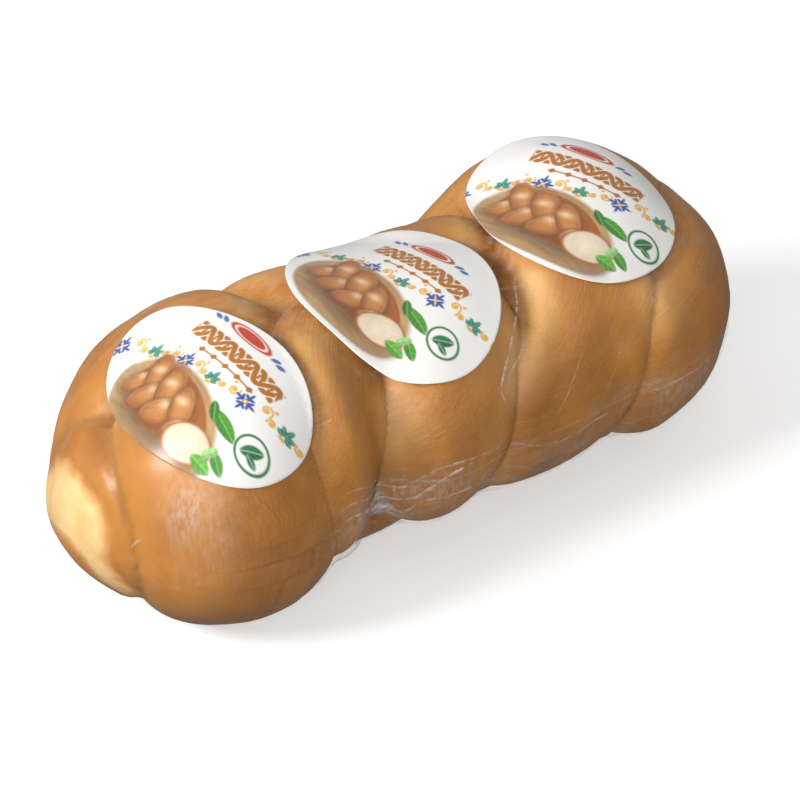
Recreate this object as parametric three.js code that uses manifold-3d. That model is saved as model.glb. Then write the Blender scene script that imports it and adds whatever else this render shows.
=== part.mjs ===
// Braided smoked mozzarella in clear film, with three oval labels.
// Millimetres, +Z up. The braid lies along X, its near end at -X; the origin is on the
// supporting surface, under the middle of the loaf.
import * as THREE from 'three';
import * as BufferGeometryUtils from 'three/addons/utils/BufferGeometryUtils.js';
import Module from 'manifold-3d';

// ---------------------------------------------------------------- driving dimensions
const CORE_Z = 52;            // height of the loaf's core line
const CORE_NEAR = -88;        // where the near round end starts
const CORE_FAR = 88;          // where the far round end starts
const HALF_WIDTH = 68;        // envelope, sideways
const RISE = 62;              // envelope, above the core line
const DROP = 58;              // envelope, below the core line (cut flat by the surface)
const END_REACH = 60;         // envelope, past the core line's ends
const SECTION_POWER = 2.45;   // 2 is an ellipse, higher is squarer
const CREASE_DEPTH = 17;      // depth at which a crease stops tightening
const CREASE_POWER = 1.7;     // above 1: flat lobes and tight creases
const CHEESE_FLOOR = 0.7;     // underside of the cheese
const PRESSED = 0.9;          // how far the loaf's own weight closes the creases underneath
const FILM_GAP = 0.3;         // between cheese and film
const FILM_THICKNESS = 0.4;
const SEAM_Z = 47;            // height of the weld between the two film webs
const SEAM_GAP = 0.3;
const FILM_SAG_SIDE = 8;      // how far the film sinks into a crease, on the sides
const FILM_SAG_TOP = 3;       // and under the labels
const LABEL_SAG = 2;          // how far a label sinks into a crease
const LABEL_LIFT = 1.0;       // underside of a label above the loaf's envelope
const LABEL_THICKNESS = 0.3;

const AROUND = 36;            // facets round the loaf
const ALONG = 27;             // facets along the core line
const END_RINGS = 8;          // facets over each round end

// The three strands: x, y, z and radius at points along each. A strand comes over the top from
// one side, dives under the next one and comes up again on the other side.
const STRANDS = [
  [[-101, -24, 34, 38], [-102, -34, 46, 39.5], [-99, -20, 66, 37], [-66, 14, 54, 33], [-42, 30, 51, 36],
   [-14, 16, 64, 34], [18, -14, 48, 36], [50, -34, 50, 38], [76, -16, 70, 37], [100, 14, 50, 38],
   [116, 26, 54, 38], [122, 14, 52, 39]],
  [[-127, 2, 44, 34], [-118, 4, 44, 34], [-92, -14, 50, 31], [-67, -32, 56, 35], [-48, -14, 66, 35],
   [-14, 14, 50, 34], [14, 28, 46, 35], [40, 16, 66, 35], [84, -16, 46, 36], [108, -31, 50, 39],
   [124, -10, 56, 39]],
  [[-104, 18, 50, 32], [-99, 24, 56, 36], [-74, 14, 68, 35], [-38, -14, 52, 35], [-15, -33, 55, 37],
   [10, -16, 68, 36], [52, 14, 52, 36], [82, 31, 58, 40], [102, 14, 74, 38], [118, 0, 56, 38]],
];
const STRAND_STEPS = 14;

// Brings the middle of the whole package over the origin.
const CENTRE_SHIFT = [-0.94, -0.42];

// How full the back and the front of the loaf are along X.
const FULL_BACK = [[-150, 0.95], [-90, 1.0], [-45, 0.93], [-10, 0.92], [30, 0.88], [60, 0.95], [95, 1.07], [150, 1.10]];
// how full each stretch is, behind and in front
const TRIM_BACK = [[-155, 0.99], [-145, 0.99], [-130, 0.976], [-110, 0.974], [-95, 1.005], [-80, 1.04], [-60, 1.06], [-50, 1.01], [-35, 1.03],
  [-20, 0.995], [-5, 0.975], [10, 0.97], [30, 0.95], [40, 0.90], [50, 0.935], [65, 0.935], [85, 0.966], [110, 0.972], [130, 0.98], [140, 1.03], [150, 1.05]];
const TRIM_FRONT = [[-160, 1.0], [-150, 1.0], [-145, 1.02], [-125, 1.01], [-110, 0.985], [-90, 0.975], [-70, 0.975], [-60, 0.985], [-52, 0.84],
  [-40, 0.73], [-27, 0.95], [-15, 0.985], [0, 0.965], [18, 0.955], [32, 0.925], [50, 0.918], [70, 0.905], [80, 0.93], [90, 0.975], [105, 0.93],
  [130, 0.93], [142, 0.98], [152, 1.02]];
const FULL_FRONT = [[-150, 1.0], [-90, 0.99], [-60, 0.95], [-20, 0.95], [30, 0.97], [60, 0.98], [110, 0.98], [150, 0.98]];

// Oval labels: centre x, y, outward normal, the turn of the long axis from -Y towards +X, and the half axes.
const LABELS = [
  { name: 'label_near', at: [-106.3, -21.3], normal: [-0.20, -0.16, 0.97], turn: -3, half: [46.2, 34.0] },
  { name: 'label_middle', at: [-8.3, -12.3], normal: [0, -0.13, 0.99], turn: -17, half: [48.8, 39.8] },
  { name: 'label_far', at: [86.1, -7.8], normal: [0, -0.10, 0.99], turn: -4, half: [45.2, 38.9] },
];

// ---------------------------------------------------------------- the loaf as a distance from its core line
const clamp = (x, lo, hi) => Math.min(Math.max(x, lo), hi);
const smooth = (lo, hi, x) => { const t = clamp((x - lo) / (hi - lo), 0, 1); return t * t * (3 - 2 * t); };

function table(rows, x) {
  if (x <= rows[0][0]) return rows[0][1];
  for (let i = 1; i < rows.length; i++) {
    if (x <= rows[i][0]) {
      const f = (x - rows[i - 1][0]) / (rows[i][0] - rows[i - 1][0]);
      return rows[i - 1][1] * (1 - f) + rows[i][1] * f;
    }
  }
  return rows[rows.length - 1][1];
}

// A strand is a close row of balls on a smooth curve through its points.
function balls(points) {
  const n = points.length;
  const ext = (a, b) => a.map((v, k) => 2 * v - b[k]);
  const q = [ext(points[0], points[1]), ...points, ext(points[n - 1], points[n - 2])];
  const out = [];
  for (let i = 1; i < q.length - 2; i++) {
    for (let s = 0; s < STRAND_STEPS; s++) {
      const t = s / STRAND_STEPS;
      out.push(q[i].map((p1, k) => {
        const p0 = q[i - 1][k], p2 = q[i + 1][k], p3 = q[i + 2][k];
        return 0.5 * (2 * p1 + (p2 - p0) * t + (2 * p0 - 5 * p1 + 4 * p2 - p3) * t * t
          + (3 * p1 - p0 - 3 * p2 + p3) * t * t * t);
      }));
    }
  }
  out.push(q[q.length - 2].slice());
  return out;
}
const BALLS = STRANDS.flatMap(balls);

function strandsReach(ax, dir) {
  let far = 0;
  for (const [x, y, z, r] of BALLS) {
    const px = ax - x, py = -y, pz = CORE_Z - z;
    const b = px * dir[0] + py * dir[1] + pz * dir[2];
    const disc = b * b - (px * px + py * py + pz * pz - r * r);
    if (disc > 0) far = Math.max(far, -b + Math.sqrt(disc));
  }
  return far;
}

function envelopeReach(ax, inEnd, dir) {
  const [dx, dy, dz] = dir;
  const p = SECTION_POWER;
  const up = dz > 0 ? RISE : DROP;
  let e = (inEnd ? (Math.abs(dx) / END_REACH) ** p : 0) + (Math.abs(dy) / HALF_WIDTH) ** p + (Math.abs(dz) / up) ** p;
  e = e ** (-1 / p);
  // the near end leans out at its foot and back at its shoulder
  const near = clamp(-dx, 0, 1);
  const hi = clamp(0.2 + 0.75 * dz + 0.5 * dy, 0, 1.1);
  const lo = clamp(0.2 - dz, 0, 1.2);
  e *= 1 - 0.30 * near * hi * hi + 0.13 * near * lo * lo;
  const x = ax + dx * 60;
  let back = 0.5 + 0.5 * clamp(dy * 1.6 + dz * 0.4, -1, 1);
  back = back * back * (3 - 2 * back);
  return e * (back * table(FULL_BACK, x) + (1 - back) * table(FULL_FRONT, x));
}

const toFloor = (reach, dir, floor) => (dir[2] < -1e-3 ? Math.min(reach, (CORE_Z - floor) / -dir[2]) : reach);
const sag = (depth, most) => (depth > 0 ? most * (1 - Math.exp(-depth / most)) : depth);

function trim(ax, [dx, dy, dz]) {
  const x = ax + dx * 60;
  const w = smooth(-0.85, 0.85, 0.64 * dy + 0.77 * dz);
  const near = clamp(-dx, 0, 1), far = clamp(dx, 0, 1);
  let t = table(TRIM_FRONT, x) * (1 - w) + table(TRIM_BACK, x) * w;
  t += (Math.max(t, 1.01) - t) * smooth(0.80, 0.93, -dz);   // the underside lies flat all along
  return t * (1 - 0.17 * near * smooth(0, 0.9, -dz) + 0.06 * near * smooth(0, 0.8, dz) + 0.06 * near * near
    + 0.02 * far * smooth(0, 0.8, dz) + 0.07 * far * smooth(0.1, 0.7, -dy));
}

function reaches(ax, inEnd, dir) {
  let env = envelopeReach(ax, inEnd, dir);
  const gap = env - strandsReach(ax, dir);
  let depth = gap > 0 ? CREASE_DEPTH * (gap / CREASE_DEPTH) ** CREASE_POWER : 0.35 * gap;
  if (depth > 0) depth *= 1 - PRESSED * smooth(0.78, 0.93, -dir[2]);
  const full = trim(ax, dir);
  env *= full;
  depth *= full;
  const top = smooth(0.3, 0.75, dir[2]);
  const film = env - sag(depth, FILM_SAG_SIDE * (1 - top) + FILM_SAG_TOP * top);
  const label = env - sag(depth, LABEL_SAG) + LABEL_LIFT;
  return {
    cheese: toFloor(env - depth, dir, CHEESE_FLOOR),
    filmIn: toFloor(film + FILM_GAP, dir, CHEESE_FLOOR - FILM_GAP),
    filmOut: toFloor(film + FILM_GAP + FILM_THICKNESS, dir, 0),
    labelIn: label,
    labelOut: label + LABEL_THICKNESS,
  };
}

// ---------------------------------------------------------------- rays from the core line, ring by ring
const RINGS = [];
for (let i = 1; i < END_RINGS; i++) RINGS.push([CORE_NEAR, -Math.PI / 2 * (1 - i / END_RINGS)]);
for (let i = 0; i <= ALONG; i++) RINGS.push([CORE_NEAR + (CORE_FAR - CORE_NEAR) * i / ALONG, 0]);
for (let i = 1; i < END_RINGS; i++) RINGS.push([CORE_FAR, Math.PI / 2 * i / END_RINGS]);

const RAYS = [];
for (const [ax, tilt] of RINGS) {
  for (let j = 0; j < AROUND; j++) {
    const a = 2 * Math.PI * j / AROUND;
    RAYS.push({ ax, inEnd: tilt !== 0, dir: [Math.sin(tilt), -Math.cos(tilt) * Math.cos(a), Math.cos(tilt) * Math.sin(a)] });
  }
}
RAYS.push({ ax: CORE_NEAR, inEnd: true, dir: [-1, 0, 0] }, { ax: CORE_FAR, inEnd: true, dir: [1, 0, 0] });
for (const ray of RAYS) ray.reach = reaches(ray.ax, ray.inEnd, ray.dir);

const FACES = [];
const ring = (i, j) => i * AROUND + (j % AROUND);
for (let i = 0; i < RINGS.length - 1; i++) {
  for (let j = 0; j < AROUND; j++) {
    FACES.push(ring(i, j), ring(i + 1, j), ring(i, j + 1), ring(i, j + 1), ring(i + 1, j), ring(i + 1, j + 1));
  }
}
const NEAR_TIP = RINGS.length * AROUND;
const FAR_TIP = NEAR_TIP + 1;
for (let j = 0; j < AROUND; j++) {
  FACES.push(NEAR_TIP, ring(0, j), ring(0, j + 1));
  FACES.push(FAR_TIP, ring(RINGS.length - 1, j + 1), ring(RINGS.length - 1, j));
}

function layer(name) {
  const pos = [];
  for (const { ax, dir, reach } of RAYS) {
    const r = reach[name];
    pos.push(ax + dir[0] * r, dir[1] * r, CORE_Z + dir[2] * r);
  }
  const g = new THREE.BufferGeometry();
  g.setAttribute('position', new THREE.Float32BufferAttribute(pos, 3));
  g.setIndex(FACES);
  return g;
}

// ---------------------------------------------------------------- joining and cutting
const wasm = await Module();
wasm.setup();

function solid(geometry) {
  const g = geometry.clone();
  for (const key of Object.keys(g.attributes)) if (key !== 'position') g.deleteAttribute(key);
  const merged = BufferGeometryUtils.mergeVertices(g, 1e-4);
  return new wasm.Manifold(new wasm.Mesh({
    numProp: 3,
    vertProperties: new Float32Array(merged.attributes.position.array),
    triVerts: new Uint32Array(merged.index.array),
  }));
}

function geometryOf(manifold) {
  const m = manifold.getMesh();
  const g = new THREE.BufferGeometry();
  g.setAttribute('position', new THREE.BufferAttribute(new Float32Array(m.vertProperties), 3));
  g.setIndex(new THREE.BufferAttribute(new Uint32Array(m.triVerts), 1));
  g.computeVertexNormals();
  return g;
}

function slab(lowZ, highZ) {
  const g = new THREE.BoxGeometry(500, 300, highZ - lowZ);
  g.translate(0, 0, (lowZ + highZ) / 2);
  return solid(g);
}

// an oval column standing on the loaf along the label's normal
function ovalColumn({ at, normal, turn, half }) {
  const n = new THREE.Vector3(...normal).normalize();
  const a = THREE.MathUtils.degToRad(turn);
  const long = new THREE.Vector3(Math.sin(a), -Math.cos(a), 0);
  long.addScaledVector(n, -long.dot(n)).normalize();
  const short = new THREE.Vector3().crossVectors(n, long);
  const g = new THREE.CylinderGeometry(1, 1, 90, 44);
  g.rotateX(Math.PI / 2);
  g.scale(half[0], half[1], 1);
  g.applyMatrix4(new THREE.Matrix4().makeBasis(long, short, n));
  g.translate(at[0], at[1], 108);
  return solid(g);
}

// ---------------------------------------------------------------- the pieces
const braid = new THREE.Group();
braid.position.set(CENTRE_SHIFT[0], CENTRE_SHIFT[1], 0);

function piece(name, geometry, material) {
  const mesh = new THREE.Mesh(geometry, material);
  mesh.name = name;
  braid.add(mesh);
}

piece('braid_cheese', geometryOf(solid(layer('cheese'))),
  new THREE.MeshStandardMaterial({ color: 0xa9703a, roughness: 0.45, metalness: 0 }));

const film = solid(layer('filmOut')).subtract(solid(layer('filmIn')));
const filmLook = () => new THREE.MeshStandardMaterial({ color: 0xf4efe8, roughness: 0.12, metalness: 0, transparent: true, opacity: 0.25 });
piece('film_upper_web', geometryOf(film.intersect(slab(SEAM_Z + SEAM_GAP / 2, 200))), filmLook());
piece('film_lower_web', geometryOf(film.intersect(slab(-10, SEAM_Z - SEAM_GAP / 2))), filmLook());

const labelSkin = solid(layer('labelOut')).subtract(solid(layer('labelIn')));
for (const spec of LABELS) {
  piece(spec.name, geometryOf(labelSkin.intersect(ovalColumn(spec))),
    new THREE.MeshStandardMaterial({ color: 0xf2f1ec, roughness: 0.4, metalness: 0 }));
}

export default braid;
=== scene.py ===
import math
import bpy
import numpy as np
from mathutils import Vector, Matrix


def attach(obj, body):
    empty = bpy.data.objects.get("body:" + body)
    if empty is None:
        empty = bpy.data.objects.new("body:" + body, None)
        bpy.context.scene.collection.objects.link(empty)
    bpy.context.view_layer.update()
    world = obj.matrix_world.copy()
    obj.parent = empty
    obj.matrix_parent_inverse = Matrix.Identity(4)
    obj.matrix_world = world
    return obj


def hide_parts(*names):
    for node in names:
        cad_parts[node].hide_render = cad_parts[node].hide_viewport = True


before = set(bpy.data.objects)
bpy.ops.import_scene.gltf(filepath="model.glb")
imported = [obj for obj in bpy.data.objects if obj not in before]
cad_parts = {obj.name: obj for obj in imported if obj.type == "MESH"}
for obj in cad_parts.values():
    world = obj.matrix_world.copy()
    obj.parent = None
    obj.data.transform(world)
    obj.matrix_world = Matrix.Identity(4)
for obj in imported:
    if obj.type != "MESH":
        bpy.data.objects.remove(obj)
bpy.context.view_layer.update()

MM = 0.001
SHIFT = np.array([-0.94, -0.42, 0.0])      # brings the middle of the package over the origin

# ============================================================ the loaf, as in the CAD, in mm
CORE_Z, CORE_NEAR, CORE_FAR = 52.0, -88.0, 88.0
HALF_WIDTH, RISE, DROP, END_REACH = 68.0, 62.0, 58.0, 60.0
SECTION_POWER, CREASE_DEPTH, CREASE_POWER, PRESSED = 2.45, 17.0, 1.7, 0.9
SEAM_Z = 47.0
STRANDS = [
    [(-101, -24, 34, 38), (-102, -34, 46, 39.5), (-99, -20, 66, 37), (-66, 14, 54, 33), (-42, 30, 51, 36), (-14, 16, 64, 34),
     (18, -14, 48, 36), (50, -34, 50, 38), (76, -16, 70, 37), (100, 14, 50, 38), (116, 26, 54, 38), (122, 14, 52, 39)],
    [(-127, 2, 44, 34), (-118, 4, 44, 34), (-92, -14, 50, 31), (-67, -32, 56, 35), (-48, -14, 66, 35), (-14, 14, 50, 34),
     (14, 28, 46, 35), (40, 16, 66, 35), (84, -16, 46, 36), (108, -31, 50, 39), (124, -10, 56, 39)],
    [(-104, 18, 50, 32), (-99, 24, 56, 36), (-74, 14, 68, 35), (-38, -14, 52, 35), (-15, -33, 55, 37), (10, -16, 68, 36),
     (52, 14, 52, 36), (82, 31, 58, 40), (102, 14, 74, 38), (118, 0, 56, 38)],
]
FULL_BACK = ([-150, -90, -45, -10, 30, 60, 95, 150], [0.95, 1.0, 0.93, 0.92, 0.88, 0.95, 1.07, 1.10])
TRIM_BACK = ([-155, -145, -130, -110, -95, -80, -60, -50, -35, -20, -5, 10, 30, 40, 50, 65, 85, 110, 130, 140, 150],
             [0.99, 0.99, 0.976, 0.974, 1.005, 1.04, 1.06, 1.01, 1.03, 0.995, 0.975, 0.97, 0.95, 0.90, 0.935, 0.935, 0.966, 0.972, 0.98, 1.03, 1.05])
TRIM_FRONT = ([-160, -150, -145, -125, -110, -90, -70, -60, -52, -40, -27, -15, 0, 18, 32, 50, 70, 80, 90, 105, 130, 142, 152],
              [1.0, 1.0, 1.02, 1.01, 0.985, 0.975, 0.975, 0.985, 0.84, 0.73, 0.95, 0.985, 0.965, 0.955, 0.925, 0.918, 0.905, 0.93, 0.975, 0.93, 0.93, 0.98, 1.02])
FULL_FRONT = ([-150, -90, -60, -20, 30, 60, 110, 150], [1.0, 0.99, 0.95, 0.95, 0.97, 0.98, 0.98, 0.98])


def sstep(a, b, x):
    t = np.clip((x - a) / (b - a), 0, 1)
    return t * t * (3 - 2 * t)


def strand_balls(points, n=14):
    p = np.asarray(points, float)
    q = np.vstack([2 * p[0] - p[1], p, 2 * p[-1] - p[-2]])
    out = []
    for i in range(1, len(q) - 2):
        t = np.linspace(0, 1, n, endpoint=False)[:, None]
        p0, p1, p2, p3 = q[i - 1], q[i], q[i + 1], q[i + 2]
        out.append(0.5 * (2 * p1 + (p2 - p0) * t + (2 * p0 - 5 * p1 + 4 * p2 - p3) * t * t + (3 * p1 - p0 - 3 * p2 + p3) * t ** 3))
    out.append(q[-2][None])
    return np.vstack(out)


_rows = []
for k, pts in enumerate(STRANDS):
    b = strand_balls(pts)
    tan = np.gradient(b[:, :3], axis=0)
    step = np.linalg.norm(tan, axis=1)
    run = np.concatenate([[0], np.cumsum(np.linalg.norm(np.diff(b[:, :3], axis=0), axis=1))])
    tan /= step[:, None] + 1e-9
    _rows.append(np.column_stack([b, tan, run, np.full(len(b), k)]))
BALLS = np.vstack(_rows)                    # x y z r, tangent, run, strand


def reach_strands(A, D):
    """Distance along each ray to the strands' outside, and the ball it leaves by."""
    far = np.zeros(len(A))
    who = np.zeros(len(A), int)
    ax = A[:, 0]
    for i, s in enumerate(BALLS):
        c, R = s[:3], s[3]
        m = np.abs(ax - c[0]) < R
        if c[0] < CORE_NEAR + R:
            m |= ax <= CORE_NEAR + 1e-9
        if c[0] > CORE_FAR - R:
            m |= ax >= CORE_FAR - 1e-9
        idx = np.flatnonzero(m)
        if not len(idx):
            continue
        a = A[idx] - c
        b = (a * D[idx]).sum(1)
        disc = b * b - ((a * a).sum(1) - R * R)
        t = np.where(disc > 0, -b + np.sqrt(np.maximum(disc, 0)), 0)
        up = t > far[idx]
        far[idx[up]] = t[up]
        who[idx[up]] = i
    return far, who


def reach_envelope(A, D, end):
    dx, dy, dz = D[:, 0], D[:, 1], D[:, 2]
    p = SECTION_POWER
    up = np.where(dz > 0, RISE, DROP)
    e = (np.where(end, (np.abs(dx) / END_REACH) ** p, 0) + (np.abs(dy) / HALF_WIDTH) ** p + (np.abs(dz) / up) ** p) ** (-1 / p)
    near = np.clip(-dx, 0, 1)
    hi = np.clip(0.2 + 0.75 * dz + 0.5 * dy, 0, 1.1)
    lo = np.clip(0.2 - dz, 0, 1.2)
    e = e * (1 - 0.30 * near * hi * hi + 0.13 * near * lo * lo)
    x = A[:, 0] + dx * 60
    back = 0.5 + 0.5 * np.clip(dy * 1.6 + dz * 0.4, -1, 1)
    back = back * back * (3 - 2 * back)
    return e * (back * np.interp(x, *FULL_BACK) + (1 - back) * np.interp(x, *FULL_FRONT))


def field(A, D, end):
    env = reach_envelope(A, D, end)
    far, who = reach_strands(A, D)
    gap = env - far
    depth = np.where(gap > 0, CREASE_DEPTH * (np.maximum(gap, 0) / CREASE_DEPTH) ** CREASE_POWER, 0.35 * gap)
    depth = np.where(depth > 0, depth * (1 - PRESSED * sstep(0.78, 0.93, -D[:, 2])), depth)
    # how full each stretch is, behind and in front, and the two ends
    dx, dy, dz = D[:, 0], D[:, 1], D[:, 2]
    x = A[:, 0] + dx * 60
    w = sstep(-0.85, 0.85, 0.64 * dy + 0.77 * dz)
    near, far_ = np.clip(-dx, 0, 1), np.clip(dx, 0, 1)
    trim = sum(np.interp(x + o, *TRIM_FRONT) * (1 - w) + np.interp(x + o, *TRIM_BACK) * w for o in (-6, -4, -2, 0, 2, 4, 6)) / 7
    trim = trim + (np.maximum(trim, 1.01) - trim) * sstep(0.80, 0.93, -dz)      # the underside lies flat all along
    trim = trim * (1 - 0.17 * near * sstep(0, 0.9, -dz) + 0.06 * near * sstep(0, 0.8, dz) + 0.06 * near ** 2
                   + 0.02 * far_ * sstep(0, 0.8, dz) + 0.07 * far_ * sstep(0.1, 0.7, -dy))
    return env * trim, depth * trim, who


def rays_to(P):
    """Core point, direction and end flag of the ray that passes through each point."""
    P = np.asarray(P, float)
    A = np.zeros_like(P)
    A[:, 0] = np.clip(P[:, 0], CORE_NEAR, CORE_FAR)
    A[:, 2] = CORE_Z
    D = P - A
    D /= np.linalg.norm(D, axis=1)[:, None] + 1e-12
    end = (P[:, 0] < CORE_NEAR) | (P[:, 0] > CORE_FAR)
    return A, D, end


def to_floor(r, D, floor, k=3.0):
    zm = np.where(D[:, 2] < -1e-3, (CORE_Z - floor) / np.maximum(-D[:, 2], 1e-3), 1e9)
    h = np.clip(0.5 + 0.5 * (zm - r) / k, 0, 1)
    s = np.where(zm < 1e8, zm * (1 - h) + r * h - k * h * (1 - h), r)
    return np.minimum(s, zm)


# ------------------------------------------------------------ seeded value noise
def _hash(ix, iy, iz, seed):
    h = (ix.astype(np.int64) * 374761393 + iy.astype(np.int64) * 668265263 + iz.astype(np.int64) * 2147483647 + seed * 1274126177) & 0xFFFFFFFF
    h = ((h ^ (h >> 13)) * 1274126177) & 0xFFFFFFFF
    h = ((h ^ (h >> 16)) * 2246822519) & 0xFFFFFFFF
    return ((h ^ (h >> 15)) & 0xFFFF) / 65535.0


def noise(P, size, seed=0):
    """Value noise between -1 and 1, with features about size mm across."""
    q = P / size
    i = np.floor(q).astype(np.int64)
    f = q - i
    f = f * f * f * (f * (f * 6 - 15) + 10)
    out = 0
    for a in (0, 1):
        for b in (0, 1):
            for c in (0, 1):
                w = (f[:, 0] if a else 1 - f[:, 0]) * (f[:, 1] if b else 1 - f[:, 1]) * (f[:, 2] if c else 1 - f[:, 2])
                out = out + w * _hash(i[:, 0] + a, i[:, 1] + b, i[:, 2] + c, seed)
    return out * 2 - 1


def fbm(P, size, seed=0, octaves=3, rough=0.5):
    s, a, t = 0, 1.0, 0
    for k in range(octaves):
        s = s + a * noise(P, size / 2 ** k, seed + 17 * k)
        t += a
        a *= rough
    return s / t


# ============================================================ ray grid
N_AROUND = 360
N_ALONG = 176
N_END = 46
rings = [(CORE_NEAR, -math.pi / 2 * (1 - i / N_END)) for i in range(1, N_END)]
rings += [(CORE_NEAR + (CORE_FAR - CORE_NEAR) * i / N_ALONG, 0.0) for i in range(N_ALONG + 1)]
rings += [(CORE_FAR, math.pi / 2 * i / N_END) for i in range(1, N_END)]
rings = np.array(rings)
NR = len(rings)
ang = 2 * math.pi * np.arange(N_AROUND) / N_AROUND
tilt = rings[:, 1][:, None]
DIR = np.stack([np.sin(tilt) * np.ones_like(ang), -np.cos(tilt) * np.cos(ang), np.cos(tilt) * np.sin(ang)], -1).reshape(-1, 3)
ANC = np.zeros((NR * N_AROUND, 3))
ANC[:, 0] = np.repeat(rings[:, 0], N_AROUND)
ANC[:, 2] = CORE_Z
END = np.repeat(np.abs(rings[:, 1]) > 0, N_AROUND)
DIR = np.vstack([DIR, [[-1, 0, 0], [1, 0, 0]]])
ANC = np.vstack([ANC, [[CORE_NEAR, 0, CORE_Z], [CORE_FAR, 0, CORE_Z]]])
END = np.concatenate([END, [True, True]])
ENV, DEPTH, WHO = field(ANC, DIR, END)

_i = np.arange(NR * N_AROUND).reshape(NR, N_AROUND)
_a, _b = _i[:-1], _i[1:]
QUADS = np.stack([_a, _b, np.roll(_b, -1, 1), np.roll(_a, -1, 1)], -1).reshape(-1, 4)
TIP0, TIP1 = NR * N_AROUND, NR * N_AROUND + 1
CAP = [(TIP0, int(_i[0, j]), int(_i[0, (j + 1) % N_AROUND])) for j in range(N_AROUND)]
CAP += [(TIP1, int(_i[-1, (j + 1) % N_AROUND]), int(_i[-1, j])) for j in range(N_AROUND)]


def make_mesh(name, verts_mm, faces, smooth=True):
    me = bpy.data.meshes.new(name)
    me.from_pydata([tuple(v) for v in ((verts_mm + SHIFT) * MM).tolist()], [], faces)
    me.update()
    if smooth:
        me.polygons.foreach_set("use_smooth", np.ones(len(me.polygons), bool))
    ob = bpy.data.objects.new(name, me)
    bpy.context.scene.collection.objects.link(ob)
    return ob


def put(ob, name, values):
    """A per-vertex number, vector or colour on a mesh, for its material."""
    v = np.asarray(values, np.float32)
    me = ob.data
    if v.ndim == 1:
        at = me.attributes.new(name, "FLOAT", "POINT")
        at.data.foreach_set("value", v)
    elif v.shape[1] == 3:
        at = me.attributes.new(name, "FLOAT_VECTOR", "POINT")
        at.data.foreach_set("vector", v.ravel())
    else:
        at = me.attributes.new(name, "FLOAT_COLOR", "POINT")
        at.data.foreach_set("color", v.ravel())


def along_path(P, path, radius):
    """Nearest distance from each point to a polyline, in mm."""
    path = np.asarray(path, float)
    best = np.full(len(P), 1e9)
    for a, b in zip(path[:-1], path[1:]):
        ab = b - a
        t = np.clip(((P - a) @ ab) / (ab @ ab), 0, 1)
        d = np.linalg.norm(P - (a + t[:, None] * ab), axis=1)
        best = np.minimum(best, d)
    return best


# ============================================================ the cheese
base_r = ENV - DEPTH
P0 = ANC + DIR * base_r[:, None]
lump = 0.7 * noise(P0, 34, 3) + 0.35 * noise(P0, 15, 5) + 0.10 * noise(P0, 5, 6)
cheese_r = to_floor(base_r + lump * (1 - 0.8 * sstep(0.7, 0.95, -DIR[:, 2])), DIR, 0.7)
P_CH = ANC + DIR * cheese_r[:, None]
cheese = make_mesh("braid_skin", P_CH, QUADS.tolist() + CAP)

# along-the-strand coordinates, so the curd's fibres follow each strand
ball = BALLS[WHO]
T = ball[:, 4:7]
w = P_CH - ball[:, :3]
ref = np.tile(np.array([0.0, 0.0, 1.0]), (len(T), 1))
side = np.cross(T, ref)
side /= np.linalg.norm(side, axis=1)[:, None] + 1e-9
topv = np.cross(side, T)
around = np.arctan2((w * side).sum(1), (w * topv).sum(1)) * ball[:, 3]
run = ball[:, 7] + (w * T).sum(1)
fib = np.column_stack([run, around + 400 * ball[:, 8], (w * w).sum(1) ** 0.5])

def blurred(values, size):
    """The grid's values smoothed over about size mm."""
    g = values[:-2].reshape(NR, N_AROUND)
    sa, sl = size / (390.0 / N_AROUND), size / ((CORE_FAR - CORE_NEAR) / N_ALONG)
    for axis, sg in ((1, sa), (0, sl)):
        n = max(1, int(3 * sg))
        kern = np.exp(-0.5 * (np.arange(-n, n + 1) / sg) ** 2)
        kern /= kern.sum()
        pad = [(0, 0), (0, 0)]
        pad[axis] = (n, n)
        q = np.pad(g, pad, mode="wrap" if axis == 1 else "edge")
        out = np.zeros_like(g)
        for j, kk in enumerate(kern):
            out += kk * (q[:, j:j + N_AROUND] if axis == 1 else q[j:j + NR])
        g = out
    return np.concatenate([g.ravel(), [g[0].mean(), g[-1].mean()]])


hollow_n = blurred(base_r, 2.0) - base_r
hollow_w = blurred(base_r, 8.0) - base_r
# side_face scales the painted shade in the hollows: weaker on parts facing up and high up, and weaker still at the
# shoulders below
side_face = (1 - 0.75 * sstep(0.62, 0.9, DIR[:, 2])) * (1 - 0.55 * sstep(66, 90, P0[:, 2]))


def around(c, size):
    q = (P0 - np.array(c)) / np.array(size)
    return np.exp(-(q ** 2).sum(1))


# the shoulders of three lobes that catch the light: less painted shade there, painted light on them, and their creases
# partly filled
shoulder = np.clip(around((38, -46, 88), (15, 15, 17)) + around((91, -55, 86), (13, 13, 15)) + 0.7 * around((-36, -52, 72), (12, 12, 14)), 0, 1)
side_face = side_face * (1 - 0.9 * shoulder)
# painted shade: darker along the narrow creases between the strands
crease_painted_shade = sstep(0.22, 1.05, hollow_n) * side_face
# painted highlight: a lighter band along the lobe edges beside each crease
crease_edge_highlight = sstep(2.0, 5.5, DEPTH) * (1 - sstep(7.0, 11.0, DEPTH))
put(cheese, "fib", fib)
put(cheese, "crease", crease_painted_shade)
put(cheese, "valley", sstep(0.3, 3.6, hollow_w) * side_face)
# painted light: lighter on the crowns of the lobes and on the shoulders
put(cheese, "crown", np.clip(sstep(0.2, 2.4, -hollow_w) + 1.6 * shoulder, 0, 2))
# painted highlights: a light strip beside the film fold on the far lobe, and soft spots on two other lobes
highlight_strip_d = along_path(P0, [(46, -32, 95), (37, -44, 89), (27, -52, 81), (18, -59, 73)], 0)
put(cheese, "painted_highlight", 0.9 * np.exp(-(highlight_strip_d / 8.0) ** 2) + 0.6 * around((93, -57, 84), (9, 9, 14)) + 0.5 * around((-36, -53, 70), (7, 8, 13)))
put(cheese, "straight", 1 - 0.9 * sstep(0.30, 0.68, -DIR[:, 0]) * END)
put(cheese, "edge", crease_edge_highlight)

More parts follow.
